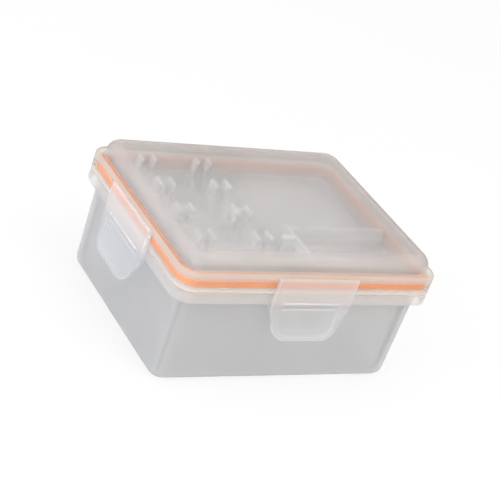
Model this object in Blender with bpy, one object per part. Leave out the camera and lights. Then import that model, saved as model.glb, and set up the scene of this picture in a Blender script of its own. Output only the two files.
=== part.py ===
"""A frosted battery case: tub, stepped lid with four snap latches, silicone seal and lift-out clip tray.

Metres, +Z up. The origin is the middle of the underside. The long walls face -Y (front) and +Y (back), and
the short walls face -X (left) and +X (right). The tub, lid, seal and tray rim are each one section carried
round the same rounded rectangle, so a section point is an inset from the flange's outline and a height.
"""

from math import acos, asin, cos, degrees, pi, radians, sin, sqrt

import bmesh
import bpy
from mathutils import Matrix, Vector

# Outline that every section is carried round
FLANGE_LENGTH = 0.1160
FLANGE_WIDTH = 0.0924
FLANGE_CORNER = 0.0078
CORNER_SHRINK = 0.575
LEAST_CORNER = 0.0012
CORNER_STEPS = 9

# Clearances
SEAT_GAP = 0.0003
SLIDE_GAP = 0.0005

# Tub
TUB_HEIGHT = 0.0430
TUB_WALL = 0.0016
TUB_FLOOR = 0.0018
TUB_WALL_INSET = 0.00365
TUB_DRAFT = 0.0195
TUB_BOTTOM_ROUND = 0.0039
FLANGE_DEPTH = 0.0047
FLANGE_TOP_PLATE = 0.0015
LIP_THICKNESS = 0.0014
LIP_ROUND = 0.0004
TONGUE_HEIGHT = 0.0026
TONGUE_ROUND = 0.0004
TRAY_POST_WIDTH = 0.0014
TRAY_POST_REACH = 0.0006

# Lid
LID_FLANGE_HEIGHT = 0.0076
LID_WALL = 0.0014
LID_EDGE_ROUND = 0.0012
SKIRT_THICKNESS = 0.0014
PLATEAU_INSET = 0.0032
PLATEAU_RISE = 0.0065
PLATEAU_ROUND = 0.0046
PLATEAU_FOOT_ROUND = 0.0005
PLUG_WALL = 0.0013
PLUG_DEPTH = 0.0049

# Seal
SEAL_WIDTH = 0.0037
SEAL_HEIGHT = 0.0033
SEAL_STEP = 0.0015
SEAL_LEG_DROP = 0.0011
SEAL_ROUND = 0.0004

# Cells that the tray is cut for
AA_DIAMETER = 0.0145
AA_LENGTH = 0.0505
AAA_DIAMETER = 0.0105
AAA_LENGTH = 0.0445
CELL_PLAY = 0.00025

# Tray
TRAY_WALL = 0.0012
TRAY_FLOOR = 0.0013
TRAY_RIM_ROUND = 0.0004
TRAY_FLOOR_ROUND = 0.0008
TRAY_RIM_HEIGHT = 0.0067
CRADLE_LIFT = 0.0008
AA_ROWS = 4
AA_ROW_PITCH = 0.0189
FINGER_THICKNESS = 0.0012
FINGER_PAIR_SPREAD = 0.0058
FINGER_STATION = 0.01265
FINGER_REACH = 0.0049
FINGER_TIP_ROUND = 0.0006
PARTITION = 0.0013
AA_END_ROOM = 0.0034
AAA_BAY_DEPTH = 0.0270
AAA_FIN_LENGTH = 0.0150
END_STUB_LENGTH = 0.0060
END_STUB_WIDTH = 0.0026

# Latches
LATCH_WIDTH = 0.0354
LATCH_PLATE = 0.0016
LATCH_HINGE_DROP = 0.0009
LATCH_TAB_WIDTH = 0.0308
LATCH_TAB_LENGTH = 0.0139
LATCH_TAB_FLARE = 0.0021
LATCH_TAB_CORNER = 0.0075
LATCH_FIELD_DEPTH = 0.0008
LATCH_FIELD_MARGIN = 0.0030
LATCH_FIELD_RIM = 0.0016
HOOK_REACH = 0.0015
HOOK_HEIGHT = 0.0024
HOOK_SLOPE = 0.0005
HOOK_MARGIN = 0.0005

# Heights and insets that follow from the sizes above
LIP_UNDERSIDE = TUB_HEIGHT - FLANGE_DEPTH
TONGUE_TOP = TUB_HEIGHT + TONGUE_HEIGHT
SKIRT_BOTTOM = TUB_HEIGHT + SEAT_GAP
LID_FLANGE_TOP = SKIRT_BOTTOM + LID_FLANGE_HEIGHT
CHANNEL_TOP = TONGUE_TOP + SEAT_GAP + SEAL_HEIGHT + SEAT_GAP
LID_TOP = LID_FLANGE_TOP + PLATEAU_RISE
SEAL_OUTER = SKIRT_THICKNESS + SEAT_GAP
SEAL_INNER = SEAL_OUTER + SEAL_WIDTH
CHANNEL_INNER = SEAL_INNER + SEAT_GAP
PLUG_INNER = CHANNEL_INNER + PLUG_WALL
PLUG_BOTTOM = CHANNEL_TOP - PLUG_DEPTH
TRAY_RIM = PLUG_BOTTOM - SLIDE_GAP - SEAT_GAP
TRAY_BASE = TRAY_RIM - TRAY_RIM_HEIGHT
TRAY_DECK = TRAY_BASE + TRAY_FLOOR


def wall_inset(z):
    """How far the tub's outer wall stands in from the flange outline at a height, with its draft."""
    return TUB_WALL_INSET + TUB_DRAFT * (LIP_UNDERSIDE - z)


# The seal's leg hangs outside the tub's tongue, and its bead stands over the tongue
SEAL_BEAD_OUTER = wall_inset(TONGUE_TOP)
SEAL_LEG_TOP = CHANNEL_TOP - SEAT_GAP - SEAL_STEP
TRAY_OUTER = wall_inset(TRAY_BASE) + TUB_WALL + SLIDE_GAP
TRAY_INNER = TRAY_OUTER + TRAY_WALL
CRADLE = TRAY_DECK + CRADLE_LIFT
AA_AXIS = CRADLE + CELL_PLAY + AA_DIAMETER / 2
AAA_AXIS = CRADLE + CELL_PLAY + AAA_DIAMETER / 2
FINGER_TOP = AA_AXIS + FINGER_REACH
# Above the tray's rim a piece stays inside the lid's plug wall
TALL_INSET = PLUG_INNER + SLIDE_GAP

HALF_LENGTH = FLANGE_LENGTH / 2
HALF_WIDTH = FLANGE_WIDTH / 2


def arc(inset, z, radius, start, end, steps=3):
    """Section points on an arc. Degrees: 0 points inwards, 90 up, 180 outwards."""
    angles = [radians(start + (end - start) * k / steps) for k in range(steps + 1)]
    return [(inset + radius * cos(a), z + radius * sin(a)) for a in angles]


def outline_loop(inset):
    """The flange outline drawn in by inset. Its corners tighten more slowly than an even offset's would."""
    radius = max(FLANGE_CORNER - CORNER_SHRINK * inset, LEAST_CORNER)
    reach_x = HALF_LENGTH - inset - radius
    reach_y = HALF_WIDTH - inset - radius
    points = []
    for corner, (side_x, side_y) in enumerate(((1, 1), (-1, 1), (-1, -1), (1, -1))):
        for step in range(CORNER_STEPS + 1):
            angle = pi / 2 * (corner + step / CORNER_STEPS)
            points.append((side_x * reach_x + radius * cos(angle), side_y * reach_y + radius * sin(angle)))
    return points


def new_object(name, mesh, collection):
    obj = bpy.data.objects.new(name, mesh)
    collection.objects.link(obj)
    return obj


def carry_round(name, section, collection, ring=False):
    """A solid from a section carried round the outline, as a closed ring or capped at both ends."""
    bm = bmesh.new()
    loops = [[bm.verts.new((x, y, z)) for x, y in outline_loop(inset)] for inset, z in section]
    pairs = list(zip(loops, loops[1:]))
    if ring:
        pairs.append((loops[-1], loops[0]))
    else:
        bm.faces.new(loops[0])
        bm.faces.new(loops[-1])
    for lower, upper in pairs:
        for k in range(len(lower)):
            after = (k + 1) % len(lower)
            bm.faces.new((lower[k], lower[after], upper[after], upper[k]))
    bmesh.ops.recalc_face_normals(bm, faces=bm.faces)
    mesh = bpy.data.meshes.new(name)
    bm.to_mesh(mesh)
    bm.free()
    return new_object(name, mesh, collection)


def plate(name, outline, thickness, matrix, collection):
    """A flat outline, filled and extruded evenly to both sides of its plane, made a mesh at a matrix."""
    curve = bpy.data.curves.new(name, "CURVE")
    curve.dimensions = "2D"
    curve.fill_mode = "BOTH"
    curve.extrude = thickness / 2
    spline = curve.splines.new("POLY")
    spline.points.add(len(outline) - 1)
    for point, (x, y) in zip(spline.points, outline):
        point.co = (x, y, 0, 1)
    spline.use_cyclic_u = True
    shape = new_object(name + "_curve", curve, collection)
    shape.matrix_world = matrix
    bpy.context.view_layer.update()
    evaluated = shape.evaluated_get(bpy.context.evaluated_depsgraph_get())
    mesh = bpy.data.meshes.new_from_object(evaluated)
    mesh.name = name
    solid = new_object(name, mesh, collection)
    solid.matrix_world = matrix
    bpy.data.objects.remove(shape)
    bpy.data.curves.remove(curve)
    bm = bmesh.new()
    bm.from_mesh(mesh)
    bmesh.ops.remove_doubles(bm, verts=bm.verts, dist=1e-7)
    bmesh.ops.recalc_face_normals(bm, faces=bm.faces)
    bm.to_mesh(mesh)
    bm.free()
    return solid


def combine(obj, other, operation):
    """A Boolean with a helper shape, which is hidden and stays in the helpers' collection."""
    other.hide_render = True
    other.display_type = "WIRE"
    modifier = obj.modifiers.new(f"{operation.lower()} {other.name}", "BOOLEAN")
    modifier.operation = operation
    modifier.solver = "EXACT"
    modifier.object = other


def set_origin(obj, point):
    """Moves an object's origin to a point and leaves its shape where it is."""
    obj.data.transform(Matrix.Translation(-Vector(point)))
    obj.location = point


def soften(obj, limit=35):
    """Shades an object smooth, apart from edges that turn by more than the limit in degrees."""
    obj.data.shade_smooth()
    obj.data.set_sharp_from_angle(angle=radians(limit))


def material(name, colour, roughness, transmission):
    made = bpy.data.materials.new(name)
    made.use_nodes = True
    shader = made.node_tree.nodes["Principled BSDF"]
    shader.inputs["Base Color"].default_value = (*colour, 1)
    shader.inputs["Roughness"].default_value = roughness
    shader.inputs["Metallic"].default_value = 0
    shader.inputs["Transmission Weight"].default_value = transmission
    return made


def tub_section():
    """From the underside up the outer wall, round the lip and tongue, and down inside to the floor."""
    foot = wall_inset(TUB_BOTTOM_ROUND) + TUB_BOTTOM_ROUND
    inner_round = max(TUB_BOTTOM_ROUND - TUB_WALL, TUB_WALL / 2)
    inner_foot = wall_inset(TUB_FLOOR + inner_round) + TUB_WALL + inner_round
    groove_top = TUB_HEIGHT - FLANGE_TOP_PLATE
    tongue = wall_inset(TONGUE_TOP)
    section = arc(foot, TUB_BOTTOM_ROUND, TUB_BOTTOM_ROUND, 270, 180, 5)
    section += [(wall_inset(groove_top), groove_top), (LIP_THICKNESS, groove_top)]
    section += arc(LIP_THICKNESS - LIP_ROUND, LIP_UNDERSIDE + LIP_ROUND, LIP_ROUND, 0, -90, 2)
    section += arc(LIP_ROUND, LIP_UNDERSIDE + LIP_ROUND, LIP_ROUND, -90, -180, 2)
    section += arc(LIP_ROUND, TUB_HEIGHT - LIP_ROUND, LIP_ROUND, 180, 90, 2)
    section += [(wall_inset(TUB_HEIGHT), TUB_HEIGHT)]
    section += arc(tongue + TONGUE_ROUND, TONGUE_TOP - TONGUE_ROUND, TONGUE_ROUND, 180, 90, 2)
    inner = tongue + TUB_WALL
    section += arc(inner - TONGUE_ROUND, TONGUE_TOP - TONGUE_ROUND, TONGUE_ROUND, 90, 0, 2)
    section += arc(inner_foot, TUB_FLOOR + inner_round, inner_round, 180, 270, 4)
    return section


def corner_depth(inset):
    """How far an inset outline stands in from the flange's square corner, along the diagonal."""
    radius = max(FLANGE_CORNER - CORNER_SHRINK * inset, LEAST_CORNER)
    return sqrt(2) * (inset + radius) - radius


def tray_post_outline():
    """A corner post as (depth, Z): down the middle of the wall, round with it, and up the free edge.

    The free edge stands just inside the rounding under the tray's rim, so that the tray's flat floor rests
    on it. It ends in the curve between the tub's wall and floor, or on the floor where it reaches past that.
    """
    top = TRAY_BASE - SEAT_GAP
    middle = TUB_WALL / 2
    foot = wall_inset(TUB_BOTTOM_ROUND) + TUB_BOTTOM_ROUND
    radius = TUB_BOTTOM_ROUND - middle
    free_inset = TRAY_OUTER + TRAY_FLOOR_ROUND + TRAY_POST_REACH
    turn = degrees(acos(max(foot - free_inset, 0) / radius))
    wall = [(wall_inset(top) + middle, top)] + arc(foot, TUB_BOTTOM_ROUND, radius, 180, 180 + turn, 4)
    if free_inset > foot:
        wall.append((free_inset, middle))
    return [(corner_depth(inset), z) for inset, z in [(free_inset, top)] + wall]


def build_tub(parts, helpers):
    """The tub, with a post up the inside of each corner that the tray stands on."""
    tub = carry_round("tub", tub_section(), parts)
    for side_x in (-1, 1):
        for side_y in (-1, 1):
            place = into_corner(side_x, side_y)
            post = plate("corner_post", tray_post_outline(), TRAY_POST_WIDTH, place, helpers)
            combine(tub, post, "UNION")
    return tub


def lid_section():
    """From the plateau's top out and down to the skirt, round the seal's channel, and back up inside.

    The channel is lower over the seal's leg than over its bead.
    """
    crown_inset = PLATEAU_INSET + PLATEAU_ROUND
    crown_z = LID_TOP - PLATEAU_ROUND
    inner_round = max(PLATEAU_ROUND - LID_WALL, LID_WALL / 4)
    low_top = SEAL_LEG_TOP + SEAT_GAP
    step_inset = SEAL_BEAD_OUTER - SEAT_GAP
    section = arc(crown_inset, crown_z, PLATEAU_ROUND, 90, 180, 5)
    foot = PLATEAU_INSET - PLATEAU_FOOT_ROUND
    section += arc(foot, LID_FLANGE_TOP + PLATEAU_FOOT_ROUND, PLATEAU_FOOT_ROUND, 0, -90, 2)
    section += arc(LID_EDGE_ROUND, LID_FLANGE_TOP - LID_EDGE_ROUND, LID_EDGE_ROUND, 90, 180, 3)
    section += arc(LIP_ROUND, SKIRT_BOTTOM + LIP_ROUND, LIP_ROUND, 180, 270, 2)
    section += [(SKIRT_THICKNESS, SKIRT_BOTTOM), (SKIRT_THICKNESS, low_top)]
    section += [(step_inset, low_top), (step_inset, CHANNEL_TOP)]
    section += [(CHANNEL_INNER, CHANNEL_TOP), (CHANNEL_INNER, PLUG_BOTTOM)]
    section += [(PLUG_INNER, PLUG_BOTTOM), (PLUG_INNER, LID_FLANGE_TOP)]
    section += [(PLATEAU_INSET + LID_WALL, LID_FLANGE_TOP)]
    section += arc(crown_inset, crown_z, inner_round, 180, 90, 4)
    return section


def build_lid(parts):
    return carry_round("lid", lid_section(), parts)


def seal_section():
    """A bead that stands on the tongue, with a lower leg that hangs down outside it."""
    low = TONGUE_TOP + SEAT_GAP
    high = low + SEAL_HEIGHT
    leg_low = TONGUE_TOP - SEAL_LEG_DROP
    leg_inset = wall_inset(TONGUE_TOP) - SEAT_GAP
    rounding = SEAL_ROUND
    section = arc(SEAL_OUTER + rounding, leg_low + rounding, rounding, 270, 180, 2)
    section += arc(SEAL_OUTER + rounding, SEAL_LEG_TOP - rounding, rounding, 180, 90, 2)
    section += [(SEAL_BEAD_OUTER, SEAL_LEG_TOP)]
    section += arc(SEAL_BEAD_OUTER + rounding, high - rounding, rounding, 180, 90, 2)
    section += arc(SEAL_INNER - rounding, high - rounding, rounding, 90, 0, 2)
    section += arc(SEAL_INNER - rounding, low + rounding, rounding, 0, -90, 2)
    section += [(leg_inset, low), (leg_inset, leg_low)]
    return section


def build_seal(parts):
    return carry_round("seal", seal_section(), parts, ring=True)


def tray_section():
    """The tray's floor and low rim."""
    rim = TRAY_RIM - TRAY_RIM_ROUND
    rounding = TRAY_FLOOR_ROUND
    section = arc(TRAY_OUTER + rounding, TRAY_BASE + rounding, rounding, 270, 180, 2)
    section += arc(TRAY_OUTER + TRAY_RIM_ROUND, rim, TRAY_RIM_ROUND, 180, 90, 2)
    section += arc(TRAY_INNER - TRAY_RIM_ROUND, rim, TRAY_RIM_ROUND, 90, 0, 2)
    section += arc(TRAY_INNER + rounding, TRAY_DECK + rounding, rounding, 180, 270, 2)
    return section


def cradle_arc(centre, axis_z, radius, shoulder_z, steps=9):
    """Outline points of a round cradle seen end on, from its right shoulder down and up to its left one."""
    start = asin((shoulder_z - axis_z) / radius)
    angles = [start - (pi + 2 * start) * step / steps for step in range(steps + 1)]
    return [(centre + radius * cos(angle), axis_z + radius * sin(angle)) for angle in angles]


def finger_tip(middle, half_width, top):
    """The chamfered tip between two cradles, right to left."""
    flat = half_width - FINGER_TIP_ROUND
    return [(middle + flat, top), (middle - flat, top)]


def aa_comb_outline():
    """One cradle plate seen along the cells: a finger at each long rim and one between each two cells."""
    radius = AA_DIAMETER / 2 + CELL_PLAY
    shoulder = FINGER_TOP - FINGER_TIP_ROUND
    half_opening = sqrt(radius**2 - (shoulder - AA_AXIS) ** 2)
    half_tip = AA_ROW_PITCH / 2 - half_opening
    low_end = HALF_WIDTH - TRAY_OUTER - TRAY_WALL / 2
    tall_end = HALF_WIDTH - TALL_INSET
    bottom = TRAY_BASE + TRAY_FLOOR / 2
    step = TRAY_RIM - 2 * TRAY_RIM_ROUND
    rows = [AA_ROW_PITCH * (row - (AA_ROWS - 1) / 2) for row in range(AA_ROWS)]
    last = rows[-1] + half_opening + FINGER_TIP_ROUND
    outline = [(-low_end, bottom), (low_end, bottom), (low_end, step), (tall_end, step)]
    outline += [(tall_end, FINGER_TOP - FINGER_TIP_ROUND), (tall_end - FINGER_TIP_ROUND, FINGER_TOP)]
    outline += [(last, FINGER_TOP)]
    for row in reversed(rows):
        outline += cradle_arc(row, AA_AXIS, radius, shoulder)
        if row != rows[0]:
            outline += finger_tip(row - AA_ROW_PITCH / 2, half_tip, FINGER_TOP)
    outline += [(-last, FINGER_TOP)]
    outline += [(FINGER_TIP_ROUND - tall_end, FINGER_TOP), (-tall_end, FINGER_TOP - FINGER_TIP_ROUND)]
    outline += [(-tall_end, step), (-low_end, step)]
    return outline


def aaa_rib_outline(front, back):
    """A low rib across the small bay, with two open cradles."""
    radius = AAA_DIAMETER / 2 + CELL_PLAY
    top = TRAY_RIM - TRAY_RIM_ROUND
    bottom = TRAY_BASE + TRAY_FLOOR / 2
    depth = back - front
    outline = [(front - TRAY_WALL / 2, bottom), (back + PARTITION / 2, bottom)]
    outline += [(back + PARTITION / 2, top)]
    for share in (0.75, 0.25):
        outline += cradle_arc(front + share * depth, AAA_AXIS, radius, top)
    outline += [(front - TRAY_WALL / 2, top)]
    return outline


def across(x):
    """Puts a plate's outline, drawn as (Y, Z), at this X."""
    return Matrix(((0, 0, 1, x), (1, 0, 0, 0), (0, 1, 0, 0), (0, 0, 0, 1)))


def along(y):
    """Puts a plate's outline, drawn as (X, Z), at this Y."""
    return Matrix(((1, 0, 0, 0), (0, 0, -1, y), (0, 1, 0, 0), (0, 0, 0, 1)))


def into_corner(side_x, side_y):
    """Puts a plate's outline, drawn as (inwards from the flange's square corner, Z), on that diagonal."""
    share = sqrt(0.5)
    return Matrix(
        (
            (-side_x * share, 0, -side_y * share, side_x * HALF_LENGTH),
            (-side_y * share, 0, side_x * share, side_y * HALF_WIDTH),
            (0, 1, 0, 0),
            (0, 0, 0, 1),
        )
    )


def tall_wall_outline(start, low_end, tall_end, top):
    """A partition, tall from its start to tall_end, that steps down under the tray's rim to low_end."""
    bottom = TRAY_BASE + TRAY_FLOOR / 2
    step = TRAY_RIM - 2 * TRAY_RIM_ROUND
    inward = FINGER_TIP_ROUND if tall_end < start else -FINGER_TIP_ROUND
    outline = [(start, bottom), (low_end, bottom), (low_end, step), (tall_end, step)]
    outline += [(tall_end, top - FINGER_TIP_ROUND), (tall_end + inward, top), (start, top)]
    return outline


def box_outline(left, right, bottom, top):
    return [(left, bottom), (right, bottom), (right, top), (left, top)]


def build_tray(parts, helpers):
    """The tray: four clip rows for AA cells, a bay with two AAA cradles and an open bay."""
    tray = carry_round("tray", tray_section(), parts)
    bottom = TRAY_BASE + TRAY_FLOOR / 2
    rim_step = TRAY_RIM - 2 * TRAY_RIM_ROUND
    left = -HALF_LENGTH + TRAY_INNER
    right = HALF_LENGTH - TRAY_INNER
    front = -HALF_WIDTH + TRAY_INNER
    divider = left + AA_LENGTH + AA_END_ROOM + PARTITION / 2
    cross = front + AAA_BAY_DEPTH + PARTITION / 2
    low_x = HALF_LENGTH - TRAY_OUTER - TRAY_WALL / 2
    low_y = HALF_WIDTH - TRAY_OUTER - TRAY_WALL / 2
    tall_x = HALF_LENGTH - TALL_INSET
    tall_y = HALF_WIDTH - TALL_INSET
    pieces = []

    aa_middle = left + (AA_LENGTH + AA_END_ROOM) / 2
    for station in (-FINGER_STATION, FINGER_STATION):
        for half in (-FINGER_PAIR_SPREAD / 2, FINGER_PAIR_SPREAD / 2):
            place = across(aa_middle + station + half)
            pieces.append(plate("aa_comb", aa_comb_outline(), FINGER_THICKNESS, place, helpers))
        web = box_outline(
            aa_middle + station - FINGER_PAIR_SPREAD / 2,
            aa_middle + station + FINGER_PAIR_SPREAD / 2,
            bottom,
            FINGER_TOP - 2 * FINGER_TIP_ROUND,
        )
        pieces.append(plate("aa_web", web, FINGER_THICKNESS, along(FINGER_THICKNESS), helpers))

    low_wall = box_outline(cross, low_y, bottom, rim_step)
    pieces.append(plate("divider_low", low_wall, PARTITION, across(divider), helpers))
    tall_wall = tall_wall_outline(cross + PARTITION, -low_y, -tall_y, FINGER_TOP)
    pieces.append(plate("divider_tall", tall_wall, PARTITION, across(divider), helpers))
    cross_wall = tall_wall_outline(divider, low_x, tall_x, FINGER_TOP - FINGER_TIP_ROUND / 2)
    pieces.append(plate("cross_wall", cross_wall, PARTITION, along(cross), helpers))
    stub = box_outline(divider - END_STUB_LENGTH, divider, bottom, FINGER_TOP - FINGER_TIP_ROUND)
    pieces.append(plate("end_stub", stub, END_STUB_WIDTH, along(-AA_ROW_PITCH), helpers))

    aaa_middle = (divider + PARTITION / 2 + right) / 2
    for station in (-AAA_LENGTH / 4, AAA_LENGTH / 4):
        outline = aaa_rib_outline(front, front + AAA_BAY_DEPTH)
        place = across(aaa_middle + station)
        pieces.append(plate("aaa_rib", outline, FINGER_THICKNESS, place, helpers))
    fin_end = divider + AAA_FIN_LENGTH
    fin = tall_wall_outline(divider, fin_end, fin_end, FINGER_TOP - FINGER_TIP_ROUND)
    pieces.append(plate("aaa_fin", fin, FINGER_THICKNESS, along(front + AAA_BAY_DEPTH / 2), helpers))

    for piece in pieces:
        combine(tray, piece, "UNION")
    return tray


def latch_flare(z):
    """How far the latch's tab has swung out from the upright at a height."""
    drop = max(LIP_UNDERSIDE - z, 0) / LATCH_TAB_LENGTH
    return LATCH_TAB_FLARE * drop**2


def latch_strip(inner, outer, top):
    """The latch seen end on as (outwards, Z), between two depths from its inner face, up to a height."""
    heights = [top] + [LIP_UNDERSIDE - LATCH_TAB_LENGTH * step / 6 for step in range(7)]
    down = [(SEAT_GAP + latch_flare(z) + inner, z) for z in heights]
    up = [(SEAT_GAP + latch_flare(z) + outer, z) for z in reversed(heights)]
    return down + up


def latch_outline(width, tab_width, corner, top, bottom):
    """The latch seen from outside as (X, Z): upright sides, then drawn in to a rounded tab."""
    shoulder = LIP_UNDERSIDE - HOOK_HEIGHT
    right = [(width / 2, top), (width / 2, shoulder)]
    for step in range(6):
        angle = -pi / 2 * step / 5
        right.append((tab_width / 2 - corner + corner * cos(angle), bottom + corner + corner * sin(angle)))
    return right + [(-x, z) for x, z in reversed(right)]


def side_on():
    """Puts an outline drawn as (outwards, Z) so that outwards is -Y from the front of the flange."""
    return Matrix(((0, 0, -1, 0), (-1, 0, 0, -HALF_WIDTH), (0, 1, 0, 0), (0, 0, 0, 1)))


def build_latch_mesh(helpers):
    """The front latch in place: a bent plate trimmed to its outline, with a sunk field and a hook."""
    hinge_out = SEAT_GAP + LATCH_PLATE / 2
    hinge_z = LID_FLANGE_TOP - LATCH_HINGE_DROP
    bottom = LIP_UNDERSIDE - LATCH_TAB_LENGTH
    spare = LATCH_PLATE

    strip = latch_strip(0, LATCH_PLATE, hinge_z)
    knuckle = arc(hinge_out, hinge_z, LATCH_PLATE / 2, 0, 180, 6)[1:-1]
    latch = plate("latch_body", strip + knuckle, LATCH_WIDTH + spare, side_on(), helpers)
    depth = 4 * (LATCH_PLATE + LATCH_TAB_FLARE)
    face = latch_outline(LATCH_WIDTH, LATCH_TAB_WIDTH, LATCH_TAB_CORNER, hinge_z + spare, bottom)
    combine(latch, plate("latch_face", face, depth, along(-HALF_WIDTH), helpers), "INTERSECT")

    field = latch_strip(LATCH_PLATE - LATCH_FIELD_DEPTH, LATCH_PLATE + spare, LIP_UNDERSIDE + LIP_ROUND)
    sunk = plate("latch_sunk", field, LATCH_WIDTH, side_on(), helpers)
    window = latch_outline(
        LATCH_WIDTH - 3 * LATCH_FIELD_MARGIN,
        LATCH_TAB_WIDTH - 2 * LATCH_FIELD_MARGIN,
        LATCH_TAB_CORNER - LATCH_FIELD_MARGIN,
        LIP_UNDERSIDE + spare,
        bottom + LATCH_FIELD_RIM,
    )
    combine(sunk, plate("latch_window", window, depth, along(-HALF_WIDTH), helpers), "INTERSECT")
    combine(latch, sunk, "DIFFERENCE")

    nose_top = LIP_UNDERSIDE - SEAT_GAP
    tip = nose_top - HOOK_SLOPE
    nose = [
        (hinge_out, nose_top),
        (SEAT_GAP, nose_top),
        (-HOOK_REACH, tip),
        (-HOOK_REACH, tip - HOOK_SLOPE),
        (SEAT_GAP, nose_top - HOOK_HEIGHT),
        (hinge_out, nose_top - HOOK_HEIGHT),
    ]
    hook = plate("latch_hook", nose, LATCH_WIDTH - 2 * HOOK_MARGIN, side_on(), helpers)
    combine(latch, hook, "UNION")

    bpy.context.view_layer.update()
    evaluated = latch.evaluated_get(bpy.context.evaluated_depsgraph_get())
    mesh = bpy.data.meshes.new_from_object(evaluated)
    mesh.transform(latch.matrix_world)
    mesh.transform(Matrix.Translation((0, HALF_WIDTH + hinge_out, -hinge_z)))
    mesh.name = "latch"
    latch.hide_render = True
    latch.display_type = "WIRE"
    return mesh


def build_latches(parts, helpers):
    """One latch on each side, its origin on its hinge line at the lid flange's top edge."""
    mesh = build_latch_mesh(helpers)
    out = SEAT_GAP + LATCH_PLATE / 2
    z = LID_FLANGE_TOP - LATCH_HINGE_DROP
    sides = {
        "latch_front": ((0, -HALF_WIDTH - out, z), 0),
        "latch_right": ((HALF_LENGTH + out, 0, z), 90),
        "latch_back": ((0, HALF_WIDTH + out, z), 180),
        "latch_left": ((-HALF_LENGTH - out, 0, z), 270),
    }
    latches = []
    for name, (place, turn) in sides.items():
        latch = new_object(name, mesh, parts)
        latch.location = place
        latch.rotation_euler.z = radians(turn)
        latches.append(latch)
    return latches


def hold(parent, child):
    """Parents child where it stands."""
    bpy.context.view_layer.update()
    child.parent = parent
    child.matrix_parent_inverse = parent.matrix_world.inverted()


def clear_scene():
    for obj in list(bpy.data.objects):
        bpy.data.objects.remove(obj)


def main():
    clear_scene()
    parts = bpy.data.collections.new("battery_case")
    helpers = bpy.data.collections.new("battery_case_helpers")
    bpy.context.scene.collection.children.link(parts)
    bpy.context.scene.collection.children.link(helpers)

    tub = build_tub(parts, helpers)
    lid = build_lid(parts)
    seal = build_seal(parts)
    tray = build_tray(parts, helpers)
    latches = build_latches(parts, helpers)
    set_origin(lid, (0, 0, SKIRT_BOTTOM))
    set_origin(tray, (0, 0, TRAY_BASE))

    frosted = (0.80, 0.79, 0.78)
    finishes = {
        tub: material("tub_frosted", frosted, 0.42, 0.6),
        lid: material("lid_frosted", frosted, 0.38, 0.6),
        seal: material("seal_orange", (0.95, 0.27, 0.06), 0.5, 0),
        tray: material("tray_frosted", frosted, 0.45, 0.5),
    }
    latch_finish = material("latch_frosted", frosted, 0.35, 0.6)
    latches[0].data.materials.append(latch_finish)
    for obj, finish in finishes.items():
        obj.data.materials.append(finish)
    for obj in (*finishes, latches[0]):
        soften(obj)

    hold(lid, seal)
    hold(tub, lid)
    hold(tub, tray)
    for latch in latches:
        hold(lid, latch)


main()
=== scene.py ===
"""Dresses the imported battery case: frosted tub and lid, orange seal, clip tray and four latches.

Metres, in the row frame. Sizes repeat those of the CAD solids, apart from what the comments at the lid and
the latches name. The long walls face -Y and +Y.
"""

from collections import namedtuple
from math import acos, asin, cos, degrees, pi, radians, sin, sqrt

import bmesh
import bpy
from mathutils import Matrix, Vector


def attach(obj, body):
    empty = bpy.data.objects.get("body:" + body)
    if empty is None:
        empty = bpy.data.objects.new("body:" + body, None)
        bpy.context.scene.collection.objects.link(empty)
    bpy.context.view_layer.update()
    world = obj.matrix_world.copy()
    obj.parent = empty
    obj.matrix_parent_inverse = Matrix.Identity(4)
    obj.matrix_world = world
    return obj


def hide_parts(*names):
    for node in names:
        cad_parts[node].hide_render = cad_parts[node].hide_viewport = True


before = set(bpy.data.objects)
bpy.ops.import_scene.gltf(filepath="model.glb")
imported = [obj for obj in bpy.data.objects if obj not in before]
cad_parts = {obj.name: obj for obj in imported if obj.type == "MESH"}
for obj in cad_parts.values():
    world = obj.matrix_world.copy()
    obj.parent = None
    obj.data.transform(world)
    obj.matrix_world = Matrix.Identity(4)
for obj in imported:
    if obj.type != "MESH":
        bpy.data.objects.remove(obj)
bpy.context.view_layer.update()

# The photograph's camera, fitted to the case's outline. Distances are in flange lengths.
FRAME_PIXELS = 500
FOCAL_PIXELS = 1623.99
CAMERA_YAW = radians(-36.603)
CAMERA_RISE = radians(27.127)
CAMERA_ROLL = radians(20.317)
CAMERA_ASIDE = -0.0061
CAMERA_UP = -0.029
CAMERA_BACK = 5.5951
AIM_HEIGHT = 0.24735

# Outline that every section is carried round
FLANGE_LENGTH = 0.1160
FLANGE_WIDTH = 0.0924
FLANGE_CORNER = 0.0078
CORNER_SHRINK = 0.575
LEAST_CORNER = 0.0012
CORNER_STEPS = 20
HALF_LENGTH = FLANGE_LENGTH / 2
HALF_WIDTH = FLANGE_WIDTH / 2

SEAT_GAP = 0.0003
SLIDE_GAP = 0.0005

# Turns above which an edge is rounded or shaded as sharp, and what counts as one point or one plane
ROUNDED_ABOVE = radians(40)
SHARP_ABOVE = radians(32)
SAME_POINT = 2e-6
SAME_PLANE = radians(0.5)

# Tub
TUB_HEIGHT = 0.0430
TUB_WALL = 0.0016
TUB_FLOOR = 0.0018
TUB_WALL_INSET = 0.00365
TUB_DRAFT = 0.0195
TUB_BOTTOM_ROUND = 0.0039
LIP_UNDERSIDE = 0.0383
FLANGE_TOP_PLATE = 0.0015
LIP_THICKNESS = 0.0014
LIP_ROUND = 0.0004
TONGUE_TOP = 0.0456
TONGUE_ROUND = 0.0004
TRAY_POST_WIDTH = 0.0014
TRAY_POST_REACH = 0.0006

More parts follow.
